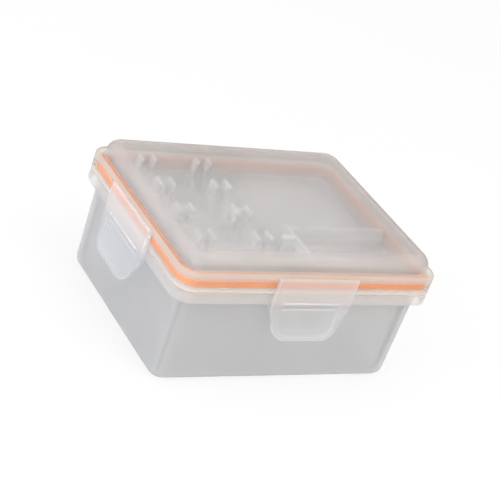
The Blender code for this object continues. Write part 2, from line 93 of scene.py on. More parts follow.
# Lid. The skirt ends 0.2 mm below the CAD's, so that the seam over the tub stays as faint as in the photo.
SKIRT_BOTTOM = 0.0431
LID_FLANGE_TOP = 0.0509
LID_TOP = 0.0574
LID_WALL = 0.0014
LID_EDGE_ROUND = 0.0012
SKIRT_THICKNESS = 0.0014
PLATEAU_INSET = 0.0032
PLATEAU_ROUND = 0.0046
PLATEAU_FOOT_ROUND = 0.0005
PLUG_WALL = 0.0013
CHANNEL_TOP = 0.0495
PLUG_BOTTOM = 0.0446
CROWN_INSET = PLATEAU_INSET + PLATEAU_ROUND

# Seal
SEAL_WIDTH = 0.0037
SEAL_OUTER = SKIRT_THICKNESS + SEAT_GAP
SEAL_INNER = SEAL_OUTER + SEAL_WIDTH
SEAL_BOTTOM = 0.0459
SEAL_TOP = 0.0492
SEAL_LEG_BOTTOM = 0.0445
SEAL_LEG_TOP = 0.0477
SEAL_ROUND = 0.0004
CHANNEL_INNER = SEAL_INNER + SEAT_GAP
PLUG_INNER = CHANNEL_INNER + PLUG_WALL

# Tray and the cells that it is cut for
TRAY_WALL = 0.0012
TRAY_RIM = 0.0438
TRAY_BASE = 0.0371
TRAY_FLOOR = 0.0013
TRAY_DECK = TRAY_BASE + TRAY_FLOOR
TRAY_RIM_ROUND = 0.0004
TRAY_FLOOR_ROUND = 0.0008
TRAY_EDGE_ROUND = 0.00025
CRADLE_LIFT = 0.0008
CELL_PLAY = 0.00025
AA_DIAMETER = 0.0145
AA_LENGTH = 0.0505
AAA_DIAMETER = 0.0105
AAA_LENGTH = 0.0445
AA_ROWS = 4
AA_ROW_PITCH = 0.0189
FINGER_THICKNESS = 0.0012
FINGER_PAIR_SPREAD = 0.0058
FINGER_STATION = 0.01265
FINGER_REACH = 0.0049
FINGER_TIP_ROUND = 0.0006
PARTITION = 0.0013
AA_END_ROOM = 0.0034
AAA_BAY_DEPTH = 0.0270
AAA_CRADLE_SHARES = (0.75, 0.25)
AAA_FIN_LENGTH = 0.0150
END_STUB_LENGTH = 0.0060
END_STUB_WIDTH = 0.0026
AA_AXIS = TRAY_DECK + CRADLE_LIFT + CELL_PLAY + AA_DIAMETER / 2
AAA_AXIS = TRAY_DECK + CRADLE_LIFT + CELL_PLAY + AAA_DIAMETER / 2
FINGER_TOP = AA_AXIS + FINGER_REACH
TALL_INSET = PLUG_INNER + SLIDE_GAP
PIECE_BOTTOM = TRAY_BASE + TRAY_FLOOR / 2
RIM_STEP = TRAY_RIM - 2 * TRAY_RIM_ROUND

# Latches. The field's top edge, with the lines over and under it, follows the photo, 0.9 mm over the CAD's.
# A line is its half length, its lower edge and its upper edge.
LATCH_WIDTH = 0.0354
LATCH_PLATE = 0.0016
LATCH_HINGE_HEIGHT = 0.0500
LATCH_HINGE_OUT = SEAT_GAP + LATCH_PLATE / 2
LATCH_TAB_WIDTH = 0.0308
LATCH_TAB_LENGTH = 0.0139
LATCH_TAB_FLARE = 0.0021
LATCH_TAB_CORNER = 0.0075
LATCH_BOTTOM = LIP_UNDERSIDE - LATCH_TAB_LENGTH
LATCH_FIELD_DEPTH = 0.0008
LATCH_FIELD_MARGIN = 0.0030
LATCH_FIELD_RIM = 0.0016
LATCH_FIELD_TOP = 0.0396
LATCH_LINE_RISE = 0.0003
LATCH_LIP_LINE = (0.0124, 0.0397, 0.0403)
LATCH_FIELD_LINE = (0.0122, 0.0366, 0.0371)
LATCH_EDGE_ROUND = 0.0003
LATCH_BEND_STEPS = 24
TAB_CORNER_STEPS = 12
HOOK_REACH = 0.0015
HOOK_HEIGHT = 0.0024
HOOK_SLOPE = 0.0005
HOOK_MARGIN = 0.0005

# How deep the block goes that cuts a latch to its outline, and how far a cutting block stands proud
FACE_CUTTER_DEPTH = 0.02
CUTTER_REACH = 0.002


# Shapes


def wall_inset(z):
    """How far inside the flange's edge the tub's outer wall stands at this height."""
    return TUB_WALL_INSET + TUB_DRAFT * (LIP_UNDERSIDE - z)


SEAL_BEAD_OUTER = wall_inset(TONGUE_TOP)
SEAL_STEP_INSET = SEAL_BEAD_OUTER - SEAT_GAP
TRAY_OUTER = wall_inset(TRAY_BASE) + TUB_WALL + SLIDE_GAP
TRAY_INNER = TRAY_OUTER + TRAY_WALL


def arc(inset, z, radius, start, end, steps):
    """Section points on an arc. Degrees: 0 points inwards, 90 up, 180 outwards."""
    angles = [radians(start + (end - start) * k / steps) for k in range(steps + 1)]
    return [(inset + radius * cos(a), z + radius * sin(a)) for a in angles]


def corner_radius(inset):
    return max(FLANGE_CORNER - CORNER_SHRINK * inset, LEAST_CORNER)


def outline_loop(inset):
    """Points round the flange's outline, drawn inwards by the inset."""
    radius = corner_radius(inset)
    reach_x = HALF_LENGTH - inset - radius
    reach_y = HALF_WIDTH - inset - radius
    points = []
    for corner, (side_x, side_y) in enumerate(((1, 1), (-1, 1), (-1, -1), (1, -1))):
        for step in range(CORNER_STEPS + 1):
            angle = pi / 2 * (corner + step / CORNER_STEPS)
            points.append((side_x * reach_x + radius * cos(angle), side_y * reach_y + radius * sin(angle)))
    return points


def new_object(name, mesh):
    obj = bpy.data.objects.new(name, mesh)
    bpy.context.scene.collection.objects.link(obj)
    return obj


def closed_object(name, bm):
    """An object of the faces in bm, all turned outwards."""
    bmesh.ops.recalc_face_normals(bm, faces=bm.faces)
    mesh = bpy.data.meshes.new(name)
    bm.to_mesh(mesh)
    bm.free()
    return new_object(name, mesh)


def add_band(bm, lower, upper):
    """Faces between two loops of as many points."""
    for k in range(len(lower)):
        after = (k + 1) % len(lower)
        bm.faces.new((lower[k], lower[after], upper[after], upper[k]))


def carry_round(name, section, ring=False, painted_light=None):
    """A solid from a section of (inset, Z) points carried round the outline.

    Where it is given, the function says at each point, from 0 to 1, how much painted light the plastic takes
    there.
    """
    bm = bmesh.new()
    loops = [[bm.verts.new((x, y, z)) for x, y in outline_loop(inset)] for inset, z in section]
    pairs = list(zip(loops, loops[1:]))
    if ring:
        pairs.append((loops[-1], loops[0]))
    else:
        bm.faces.new(loops[0])
        bm.faces.new(loops[-1])
    for lower, upper in pairs:
        add_band(bm, lower, upper)
    obj = closed_object(name, bm)
    if painted_light:
        places = [(inset, z, x, y) for inset, z in section for x, y in outline_loop(inset)]
        layer = obj.data.attributes.new("painted_light", "FLOAT", "POINT")
        layer.data.foreach_set("value", [painted_light(*place) for place in places])
    return obj


def plate(name, outline, thickness, matrix):
    """A flat outline extruded evenly to both sides of its plane."""
    bm = bmesh.new()
    rows = []
    for side in (-thickness / 2, thickness / 2):
        rows.append([bm.verts.new(matrix @ Vector((x, y, side))) for x, y in outline])
    bm.faces.new(rows[0])
    bm.faces.new(rows[1])
    add_band(bm, *rows)
    return closed_object(name, bm)


def apply_modifiers(obj):
    bpy.context.view_layer.update()
    evaluated = obj.evaluated_get(bpy.context.evaluated_depsgraph_get())
    mesh = bpy.data.meshes.new_from_object(evaluated)
    obj.modifiers.clear()
    obj.data = mesh


def combine(obj, others, operation):
    """Boolean with each of the others in turn, applied, after which they are deleted."""
    for other in others:
        modifier = obj.modifiers.new("combine", "BOOLEAN")
        modifier.operation = operation
        modifier.solver = "EXACT"
        modifier.object = other
    apply_modifiers(obj)
    for other in others:
        bpy.data.objects.remove(other)


def soften_edges(obj, width, segments):
    """Rounds the sharp edges by a little and applies it."""
    bm = bmesh.new()
    bm.from_mesh(obj.data)
    bmesh.ops.remove_doubles(bm, verts=bm.verts, dist=SAME_POINT)
    bmesh.ops.dissolve_limit(bm, angle_limit=SAME_PLANE, verts=bm.verts, edges=bm.edges)
    bm.to_mesh(obj.data)
    bm.free()
    modifier = obj.modifiers.new("edge round", "BEVEL")
    modifier.width = width
    modifier.segments = segments
    modifier.limit_method = "ANGLE"
    modifier.angle_limit = ROUNDED_ABOVE
    modifier.use_clamp_overlap = True
    apply_modifiers(obj)


def smooth(obj):
    obj.data.shade_smooth()
    obj.data.set_sharp_from_angle(angle=SHARP_ABOVE)


def across(x):
    """Puts an outline drawn as (Y, Z) at this X."""
    return Matrix(((0, 0, 1, x), (1, 0, 0, 0), (0, 1, 0, 0), (0, 0, 0, 1)))


def along(y):
    """Puts an outline drawn as (X, Z) at this Y."""
    return Matrix(((1, 0, 0, 0), (0, 0, -1, y), (0, 1, 0, 0), (0, 0, 0, 1)))


# Tub


def tub_section():
    """From the foot up the outside, round the lip, over the tongue and down the inside."""
    foot = wall_inset(TUB_BOTTOM_ROUND) + TUB_BOTTOM_ROUND
    inner_round = TUB_BOTTOM_ROUND - TUB_WALL
    inner_foot = wall_inset(TUB_FLOOR + inner_round) + TUB_WALL + inner_round
    groove_top = TUB_HEIGHT - FLANGE_TOP_PLATE
    tongue = wall_inset(TONGUE_TOP)
    tongue_z = TONGUE_TOP - TONGUE_ROUND
    corner = LIP_ROUND
    section = arc(foot, TUB_BOTTOM_ROUND, TUB_BOTTOM_ROUND, 270, 180, steps=12)
    section += arc(wall_inset(groove_top) - corner, groove_top - corner, corner, 0, 90, steps=3)
    section += arc(LIP_THICKNESS + corner, groove_top - corner, corner, 90, 180, steps=3)
    section += arc(LIP_THICKNESS - corner, LIP_UNDERSIDE + corner, corner, 0, -90, steps=4)
    section += arc(corner, LIP_UNDERSIDE + corner, corner, -90, -180, steps=4)
    section += arc(corner, TUB_HEIGHT - corner, corner, 180, 90, steps=4)
    section += arc(wall_inset(TUB_HEIGHT) - corner, TUB_HEIGHT + corner, corner, 270, 360, steps=3)
    section += arc(tongue + TONGUE_ROUND, tongue_z, TONGUE_ROUND, 180, 90, steps=4)
    section += arc(tongue + TUB_WALL - TONGUE_ROUND, tongue_z, TONGUE_ROUND, 90, 0, steps=4)
    section += arc(inner_foot, TUB_FLOOR + inner_round, inner_round, 180, 270, steps=8)
    return section


def into_corner(side_x, side_y):
    """Puts an outline drawn as (inwards from the flange's square corner, Z) on that diagonal."""
    share = sqrt(0.5)
    return Matrix(
        (
            (-side_x * share, 0, -side_y * share, side_x * HALF_LENGTH),
            (-side_y * share, 0, side_x * share, side_y * HALF_WIDTH),
            (0, 1, 0, 0),
            (0, 0, 0, 1),
        )
    )


def corner_depth(inset):
    """How far from the flange's square corner the outline at this inset crosses the diagonal."""
    radius = corner_radius(inset)
    return sqrt(2) * (inset + radius) - radius


def tray_post_outline():
    """A corner post as (depth, Z): down the middle of the wall, round with it, and up the free edge."""
    top = TRAY_BASE - SEAT_GAP
    middle = TUB_WALL / 2
    foot = wall_inset(TUB_BOTTOM_ROUND) + TUB_BOTTOM_ROUND
    radius = TUB_BOTTOM_ROUND - middle
    free_inset = TRAY_OUTER + TRAY_FLOOR_ROUND + TRAY_POST_REACH
    turn = degrees(acos((foot - free_inset) / radius))
    wall = [(wall_inset(top) + middle, top)]
    wall += arc(foot, TUB_BOTTOM_ROUND, radius, 180, 180 + turn, steps=8)
    return [(corner_depth(inset), z) for inset, z in [(free_inset, top)] + wall]


def build_tub():
    tub = carry_round("tub_shell", tub_section())
    posts = []
    for side_x in (-1, 1):
        for side_y in (-1, 1):
            posts.append(plate("post", tray_post_outline(), TRAY_POST_WIDTH, into_corner(side_x, side_y)))
    combine(tub, posts, "UNION")
    smooth(tub)
    return tub


# Lid and seal


# How much painted light the lid takes in places, from 0 to 1, and where that fades
CORNER_PAINTED_LIGHT = 0.4
CROWN_PAINTED_LIGHT = 0.34
FAR_CROWN_PAINTED_LIGHT = 0.48
FAR_CROWN_FADE = 0.008
PLUG_PAINTED_LIGHT = 0.3
SIDE_LEDGE_PAINTED_LIGHT = 0.05
FRONT_LEFT_PAINTED_LIGHT = 0.6
FRONT_RIGHT_PAINTED_LIGHT = 0.5
FRONT_PAINTED_LIGHT_FADE = 0.003
PAINTED_LIGHT_FADE = 0.004
EDGE_PAINTED_LIGHT_BOTTOM = 0.0482
EDGE_PAINTED_LIGHT_TOP = 0.0494
EDGE_PAINTED_LIGHT_REACH = 0.0007


def lid_section():
    """From the flat top down the outside, round the skirt, the seal's channel and the plug wall, and up."""
    crown_z = LID_TOP - PLATEAU_ROUND
    foot = PLATEAU_INSET - PLATEAU_FOOT_ROUND
    low_top = SEAL_LEG_TOP + SEAT_GAP
    corner = LIP_ROUND
    section = [(CROWN_INSET + PAINTED_LIGHT_FADE, LID_TOP)]
    section += arc(CROWN_INSET, crown_z, PLATEAU_ROUND, 90, 180, steps=14)
    section += arc(foot, LID_FLANGE_TOP + PLATEAU_FOOT_ROUND, PLATEAU_FOOT_ROUND, 0, -90, steps=4)
    section += [(LID_EDGE_ROUND + EDGE_PAINTED_LIGHT_REACH, LID_FLANGE_TOP)]
    section += arc(LID_EDGE_ROUND, LID_FLANGE_TOP - LID_EDGE_ROUND, LID_EDGE_ROUND, 90, 180, steps=7)
    section += [(0, (EDGE_PAINTED_LIGHT_BOTTOM + EDGE_PAINTED_LIGHT_TOP) / 2), (0, EDGE_PAINTED_LIGHT_BOTTOM)]
    section += arc(corner, SKIRT_BOTTOM + corner, corner, 180, 270, steps=4)
    section += arc(SKIRT_THICKNESS - corner, SKIRT_BOTTOM + corner, corner, 270, 360, steps=4)
    section += arc(SKIRT_THICKNESS + corner, low_top - corner, corner, 180, 90, steps=3)
    section += [(SEAL_STEP_INSET, low_top), (SEAL_STEP_INSET, CHANNEL_TOP)]
    section += arc(CHANNEL_INNER - corner, CHANNEL_TOP - corner, corner, 90, 0, steps=3)
    section += arc(CHANNEL_INNER + corner, PLUG_BOTTOM + corner, corner, 180, 270, steps=3)
    section += arc(PLUG_INNER - corner, PLUG_BOTTOM + corner, corner, 270, 360, steps=3)
    section += arc(PLUG_INNER - corner, LID_FLANGE_TOP - corner, corner, 0, 90, steps=3)
    section += arc(PLATEAU_INSET + LID_WALL + corner, LID_FLANGE_TOP + corner, corner, 270, 180, steps=3)
    section += arc(CROWN_INSET, crown_z, PLATEAU_ROUND - LID_WALL, 180, 90, steps=10)
    section += [(CROWN_INSET + PAINTED_LIGHT_FADE, LID_TOP - LID_WALL)]
    return section


def clamped(value):
    return min(max(value, 0), 1)


def lid_painted_light(inset, z, x, y):
    """How much painted light the lid takes at a point: most at the flange's rounded edge, not at all over the
    flat top.
    """
    near = 0.0001
    # The flange's rounded edge: a painted highlight, warm from the seal below it
    if inset < LID_EDGE_ROUND + near and z > EDGE_PAINTED_LIGHT_BOTTOM:
        return clamped((z - EDGE_PAINTED_LIGHT_BOTTOM) / (EDGE_PAINTED_LIGHT_TOP - EDGE_PAINTED_LIGHT_BOTTOM))
    if SKIRT_THICKNESS + near < inset < SEAL_STEP_INSET + near and SEAL_LEG_TOP < z < CHANNEL_TOP:
        return CORNER_PAINTED_LIGHT
    if z > LID_FLANGE_TOP + near and inset > CROWN_INSET + near:
        return 0.0
    # The crown's rounding: painted light, weaker towards the top, and stronger on the far sides for the
    # seal's glow
    if z > LID_FLANGE_TOP + near:
        from_far_sides = min(HALF_LENGTH - x, HALF_WIDTH - y) - inset
        far = 1 - clamped(from_far_sides / FAR_CROWN_FADE)
        crown = CROWN_PAINTED_LIGHT + far * (FAR_CROWN_PAINTED_LIGHT - CROWN_PAINTED_LIGHT)
        rise = (inset - PLATEAU_INSET) / PLATEAU_ROUND
        return crown * (1 - rise / 2)
    if inset > CHANNEL_INNER - near:
        return PLUG_PAINTED_LIGHT
    # The ledge: painted light, much more at the front than at the sides, and more on the front's left half
    if z > LID_FLANGE_TOP - near:
        front = 1 - clamped((HALF_WIDTH + y - inset) / FRONT_PAINTED_LIGHT_FADE)
        return SIDE_LEDGE_PAINTED_LIGHT + front * (FRONT_LEFT_PAINTED_LIGHT if x < 0 else FRONT_RIGHT_PAINTED_LIGHT)
    return 0.0


def build_lid():
    lid = carry_round("lid_shell", lid_section(), painted_light=lid_painted_light)
    smooth(lid)
    return lid


def seal_section():
    """From the foot of its leg up the outside, over the step and the bead, and down the inside."""
    corner = SEAL_ROUND
    section = arc(SEAL_OUTER + corner, SEAL_LEG_BOTTOM + corner, corner, 270, 180, steps=4)
    section += arc(SEAL_OUTER + corner, SEAL_LEG_TOP - corner, corner, 180, 90, steps=4)
    section += [(SEAL_BEAD_OUTER, SEAL_LEG_TOP)]
    section += arc(SEAL_BEAD_OUTER + corner, SEAL_TOP - corner, corner, 180, 90, steps=4)
    section += arc(SEAL_INNER - corner, SEAL_TOP - corner, corner, 90, 0, steps=4)
    section += arc(SEAL_INNER - corner, SEAL_BOTTOM + corner, corner, 0, -90, steps=4)
    section += [(SEAL_STEP_INSET, SEAL_BOTTOM), (SEAL_STEP_INSET, SEAL_LEG_BOTTOM)]
    return section


def build_seal():
    seal = carry_round("seal_ring", seal_section(), ring=True)
    smooth(seal)
    return seal


# Tray


# Where its bays end, and how far its low and its tall pieces reach from the middle
TRAY_LEFT = -HALF_LENGTH + TRAY_INNER
TRAY_RIGHT = HALF_LENGTH - TRAY_INNER
TRAY_FRONT = -HALF_WIDTH + TRAY_INNER
DIVIDER_X = TRAY_LEFT + AA_LENGTH + AA_END_ROOM + PARTITION / 2
CROSS_WALL_Y = TRAY_FRONT + AAA_BAY_DEPTH + PARTITION / 2
LOW_X = HALF_LENGTH - TRAY_OUTER - TRAY_WALL / 2
LOW_Y = HALF_WIDTH - TRAY_OUTER - TRAY_WALL / 2
TALL_X = HALF_LENGTH - TALL_INSET
TALL_Y = HALF_WIDTH - TALL_INSET


def tray_section():
    floor_round = TRAY_FLOOR_ROUND
    rim_round = TRAY_RIM_ROUND
    section = arc(TRAY_OUTER + floor_round, TRAY_BASE + floor_round, floor_round, 270, 180, steps=5)
    section += arc(TRAY_OUTER + rim_round, TRAY_RIM - rim_round, rim_round, 180, 90, steps=4)
    section += arc(TRAY_INNER - rim_round, TRAY_RIM - rim_round, rim_round, 90, 0, steps=4)
    section += arc(TRAY_INNER + floor_round, TRAY_DECK + floor_round, floor_round, 180, 270, steps=5)
    return section


def cradle_arc(centre, axis_z, radius, shoulder_z, steps):
    """From the far shoulder of a round cradle down through its lowest point and up to the near one."""
    start = asin((shoulder_z - axis_z) / radius)
    angles = [start - (pi + 2 * start) * step / steps for step in range(steps + 1)]
    return [(centre + radius * cos(angle), axis_z + radius * sin(angle)) for angle in angles]


def aa_comb_outline():
    """A comb across the tray as (Y, Z): flat-topped fingers with the cells' round cradles between them."""
    radius = AA_DIAMETER / 2 + CELL_PLAY
    shoulder = FINGER_TOP - FINGER_TIP_ROUND
    half_opening = sqrt(radius**2 - (shoulder - AA_AXIS) ** 2)
    flat = AA_ROW_PITCH / 2 - half_opening - FINGER_TIP_ROUND
    rows = [AA_ROW_PITCH * (row - (AA_ROWS - 1) / 2) for row in range(AA_ROWS)]
    last = rows[-1] + half_opening + FINGER_TIP_ROUND
    outline = [(-LOW_Y, PIECE_BOTTOM), (LOW_Y, PIECE_BOTTOM), (LOW_Y, RIM_STEP), (TALL_Y, RIM_STEP)]
    outline += [(TALL_Y, shoulder), (TALL_Y - FINGER_TIP_ROUND, FINGER_TOP), (last, FINGER_TOP)]
    for row in reversed(rows):
        outline += cradle_arc(row, AA_AXIS, radius, shoulder, steps=18)
        if row != rows[0]:
            between = row - AA_ROW_PITCH / 2
            outline += [(between + flat, FINGER_TOP), (between - flat, FINGER_TOP)]
    outline += [(-last, FINGER_TOP), (FINGER_TIP_ROUND - TALL_Y, FINGER_TOP), (-TALL_Y, shoulder)]
    outline += [(-TALL_Y, RIM_STEP), (-LOW_Y, RIM_STEP)]
    return outline


def aaa_rib_outline():
    """A rib across the small bay as (Y, Z), with two round cradles."""
    radius = AAA_DIAMETER / 2 + CELL_PLAY
    top = TRAY_RIM - TRAY_RIM_ROUND
    front = TRAY_FRONT - TRAY_WALL / 2
    outline = [(front, PIECE_BOTTOM), (CROSS_WALL_Y, PIECE_BOTTOM), (CROSS_WALL_Y, top)]
    for share in AAA_CRADLE_SHARES:
        outline += cradle_arc(TRAY_FRONT + share * AAA_BAY_DEPTH, AAA_AXIS, radius, top, steps=12)
    outline += [(front, top)]
    return outline


def tall_wall_outline(start, low_end, tall_end, top):
    """A wall from start: low out to low_end, and above the rim's height no further than tall_end."""
    inward = FINGER_TIP_ROUND if tall_end < start else -FINGER_TIP_ROUND
    outline = [(start, PIECE_BOTTOM), (low_end, PIECE_BOTTOM), (low_end, RIM_STEP), (tall_end, RIM_STEP)]
    outline += [(tall_end, top - FINGER_TIP_ROUND), (tall_end + inward, top), (start, top)]
    return outline


def box_outline(left, right, top):
    return [(left, PIECE_BOTTOM), (right, PIECE_BOTTOM), (right, top), (left, top)]


def aa_bay():
    """Two pairs of combs, with a web between the combs of each."""
    half_pair = FINGER_PAIR_SPREAD / 2
    pieces = []
    for station in (-FINGER_STATION, FINGER_STATION):
        middle = TRAY_LEFT + (AA_LENGTH + AA_END_ROOM) / 2 + station
        for half in (-half_pair, half_pair):
            pieces.append(plate("comb", aa_comb_outline(), FINGER_THICKNESS, across(middle + half)))
        web = box_outline(middle - half_pair, middle + half_pair, FINGER_TOP - 2 * FINGER_TIP_ROUND)
        pieces.append(plate("web", web, FINGER_THICKNESS, along(FINGER_THICKNESS)))
    return pieces


def bay_walls():
    """The divider, low behind and tall in front, the cross wall from it, and a stub at the cells' ends."""
    low_divider = box_outline(CROSS_WALL_Y, LOW_Y, RIM_STEP)
    tall_divider = tall_wall_outline(CROSS_WALL_Y + PARTITION, -LOW_Y, -TALL_Y, FINGER_TOP)
    cross_wall = tall_wall_outline(DIVIDER_X, LOW_X, TALL_X, FINGER_TOP - FINGER_TIP_ROUND / 2)
    stub = box_outline(DIVIDER_X - END_STUB_LENGTH, DIVIDER_X, FINGER_TOP - FINGER_TIP_ROUND)
    return [
        plate("divider", low_divider, PARTITION, across(DIVIDER_X)),
        plate("divider", tall_divider, PARTITION, across(DIVIDER_X)),
        plate("cross", cross_wall, PARTITION, along(CROSS_WALL_Y)),
        plate("stub", stub, END_STUB_WIDTH, along(-AA_ROW_PITCH)),
    ]


def aaa_bay():
    """Two ribs with small cradles, and a tall fin between the cells."""
    middle = (DIVIDER_X + PARTITION / 2 + TRAY_RIGHT) / 2
    pieces = []
    for station in (-AAA_LENGTH / 4, AAA_LENGTH / 4):
        pieces.append(plate("rib", aaa_rib_outline(), FINGER_THICKNESS, across(middle + station)))
    fin_end = DIVIDER_X + AAA_FIN_LENGTH
    fin = tall_wall_outline(DIVIDER_X, fin_end, fin_end, FINGER_TOP - FINGER_TIP_ROUND)
    pieces.append(plate("fin", fin, FINGER_THICKNESS, along(TRAY_FRONT + AAA_BAY_DEPTH / 2)))
    return pieces


def build_tray():
    tray = carry_round("tray_clips", tray_section())
    combine(tray, aa_bay() + bay_walls() + aaa_bay(), "UNION")
    soften_edges(tray, TRAY_EDGE_ROUND, segments=2)
    smooth(tray)
    return tray


# Latches, each drawn about its own hinge line


def latch_flare(z):
    """How far outwards the tab is bent at this height."""
    drop = max(LIP_UNDERSIDE - z, 0) / LATCH_TAB_LENGTH
    return LATCH_TAB_FLARE * drop**2


def latch_outline(width, tab_width, corner, top, bottom):
    """The latch seen from outside as (X, Z): upright sides, then drawn in to a rounded tab."""
    shoulder = LIP_UNDERSIDE - HOOK_HEIGHT
    right = [(width / 2, top), (width / 2, shoulder)]
    for step in range(TAB_CORNER_STEPS + 1):
        angle = -pi / 2 * step / TAB_CORNER_STEPS
        right.append((tab_width / 2 - corner + corner * cos(angle), bottom + corner + corner * sin(angle)))
    return right + [(-x, z) for x, z in reversed(right)]


def side_on():
    """Puts an outline drawn as (outwards, Z) so that outwards is -Y from the hinge line."""
    return Matrix(((0, 0, -1, 0), (-1, 0, 0, LATCH_HINGE_OUT), (0, 1, 0, -LATCH_HINGE_HEIGHT), (0, 0, 0, 1)))


def lowered(outline):
    """The outline with its heights counted from the hinge line."""
    return [(x, z - LATCH_HINGE_HEIGHT) for x, z in outline]


def latch_blank():
    """An upright plate, round over the hinge line, cut to the latch's outline."""
    inner = SEAT_GAP
    outer = SEAT_GAP + LATCH_PLATE
    top = LATCH_HINGE_HEIGHT
    profile = [(inner, top), (inner, LATCH_BOTTOM), (outer, LATCH_BOTTOM), (outer, top)]
    profile += arc(LATCH_HINGE_OUT, top, LATCH_PLATE / 2, 0, 180, steps=10)[1:-1]
    latch = plate("latch", profile, LATCH_WIDTH + LATCH_PLATE, side_on())
    face = latch_outline(LATCH_WIDTH, LATCH_TAB_WIDTH, LATCH_TAB_CORNER, top + CUTTER_REACH, LATCH_BOTTOM)
    combine(latch, [plate("face", lowered(face), FACE_CUTTER_DEPTH, along(0))], "INTERSECT")
    return latch


def sink_field(latch):
    window = latch_outline(
        LATCH_WIDTH - 3 * LATCH_FIELD_MARGIN,
        LATCH_TAB_WIDTH - 2 * LATCH_FIELD_MARGIN,
        LATCH_TAB_CORNER - LATCH_FIELD_MARGIN,
        LATCH_FIELD_TOP,
        LATCH_BOTTOM + LATCH_FIELD_RIM,
    )
    middle_y = LATCH_FIELD_DEPTH - LATCH_PLATE / 2 - CUTTER_REACH
    combine(latch, [plate("field", lowered(window), 2 * CUTTER_REACH, along(middle_y))], "DIFFERENCE")


def add_lines(latch):
    """Raised lines over the field's top edge and, in the field, under it."""
    lines = []
    for (reach, low, high), depth in ((LATCH_LIP_LINE, 0), (LATCH_FIELD_LINE, LATCH_FIELD_DEPTH)):
        outline = [(-reach, low), (reach, low), (reach, high), (-reach, high)]
        thickness = (LATCH_PLATE - depth) / 2
        front_y = depth - LATCH_PLATE / 2 - LATCH_LINE_RISE
        lines.append(plate("line", lowered(outline), thickness, along(front_y + thickness / 2)))
    combine(latch, lines, "UNION")


def add_hook(latch):
    """The nose under the tub's lip, with a slope towards its tip above and below."""
    top = LIP_UNDERSIDE - SEAT_GAP
    tip = top - HOOK_SLOPE
    nose = [
        (LATCH_HINGE_OUT, top),
        (SEAT_GAP, top),
        (-HOOK_REACH, tip),
        (-HOOK_REACH, tip - HOOK_SLOPE),
        (SEAT_GAP, top - HOOK_HEIGHT),
        (LATCH_HINGE_OUT, top - HOOK_HEIGHT),
    ]
    combine(latch, [plate("hook", nose, LATCH_WIDTH - 2 * HOOK_MARGIN, side_on())], "UNION")


def bend_tab(latch):
    """Cuts the tab into strips and moves them outwards, the further the lower they lie."""
    bm = bmesh.new()
    bm.from_mesh(latch.data)
    for step in range(LATCH_BEND_STEPS):
        z = LIP_UNDERSIDE - LATCH_TAB_LENGTH * step / LATCH_BEND_STEPS - LATCH_HINGE_HEIGHT
        geometry = bm.verts[:] + bm.edges[:] + bm.faces[:]
        bmesh.ops.bisect_plane(bm, geom=geometry, dist=1e-7, plane_co=(0, 0, z), plane_no=(0, 0, 1))
    for vert in bm.verts:
        vert.co.y -= latch_flare(vert.co.z + LATCH_HINGE_HEIGHT)
    bm.to_mesh(latch.data)
    bm.free()


def build_latch_mesh():
    latch = latch_blank()
    sink_field(latch)
    add_lines(latch)
    add_hook(latch)
    soften_edges(latch, LATCH_EDGE_ROUND, segments=3)
    bend_tab(latch)
    smooth(latch)
    mesh = latch.data
    bpy.data.objects.remove(latch)
    return mesh


def build_latches():
    mesh = build_latch_mesh()
    out_y = HALF_WIDTH + LATCH_HINGE_OUT
    out_x = HALF_LENGTH + LATCH_HINGE_OUT
    sides = {
        "latch_front": ((0, -out_y), 0),
        "latch_right": ((out_x, 0), 90),
        "latch_back": ((0, out_y), 180),
        "latch_left": ((-out_x, 0), 270),
    }
    latches = {}
    for body, ((x, y), turn) in sides.items():
        latch = new_object(body + "_plate", mesh)
        latch.location = (x, y, LATCH_HINGE_HEIGHT)
        latch.rotation_euler.z = radians(turn)
        latches[body] = latch
    return latches


# Materials


# A Mix node's places for its first value, its second one and the result
MIX_PLACES = {"FLOAT": (2, 3, 0), "RGBA": (6, 7, 2)}

# A finish's transmission is how much light goes through, from 0 to 1
Finish = namedtuple("Finish", "colour transmission roughness")
FINISH_KINDS = ("RGBA", "FLOAT", "FLOAT")

# How far the dot product of the rounded and the plain normal falls below 1 where an edge counts fully
EDGE_TURN = 0.12

# Values of the noise at which the soft patches are darkest and at which they end
PATCH_DARKEST = 0.3
PATCH_END = 0.7


def new_material(name):
    material = bpy.data.materials.new(name)
    material.use_nodes = True
    tree = material.node_tree
    return material, tree, tree.nodes["Principled BSDF"]


def put(tree, value, socket):
    """Links a socket's value or sets a plain one."""
    if isinstance(value, bpy.types.NodeSocket):
        tree.links.new(value, socket)
    elif isinstance(value, tuple):
        socket.default_value = (*value, 1)
    else:
        socket.default_value = value


def computed(tree, operation, *values):
    """What a Math node makes of the values."""
    node = tree.nodes.new("ShaderNodeMath")
    node.operation = operation
    for value, socket in zip(values, node.inputs):
        put(tree, value, socket)
    return node.outputs[0]


def carried(tree, value, start, end, low=0, high=1):
    """The value carried from start..end to low..high, and held at low and at high beyond them."""
    node = tree.nodes.new("ShaderNodeMapRange")
    node.inputs["From Min"].default_value = start
    node.inputs["From Max"].default_value = end
    node.inputs["To Min"].default_value = low
    node.inputs["To Max"].default_value = high
    tree.links.new(value, node.inputs["Value"])
    return node.outputs["Result"]


def mixed(tree, share, first, second, kind, blend="MIX"):
    """The first value going over to the second as share goes from 0 to 1. Equal plain values stay plain."""
    if first == second:
        return first
    first_place, second_place, result_place = MIX_PLACES[kind]
    node = tree.nodes.new("ShaderNodeMix")
    node.data_type = kind
    node.blend_type = blend
    put(tree, share, node.inputs[0])
    put(tree, first, node.inputs[first_place])
    put(tree, second, node.inputs[second_place])
    return node.outputs[result_place]


def mixed_finish(tree, share, first, second):
    """The first finish going over to the second, value by value."""
    values = zip(first, second, FINISH_KINDS)
    return Finish(*[mixed(tree, share, a, b, kind) for a, b, kind in values])


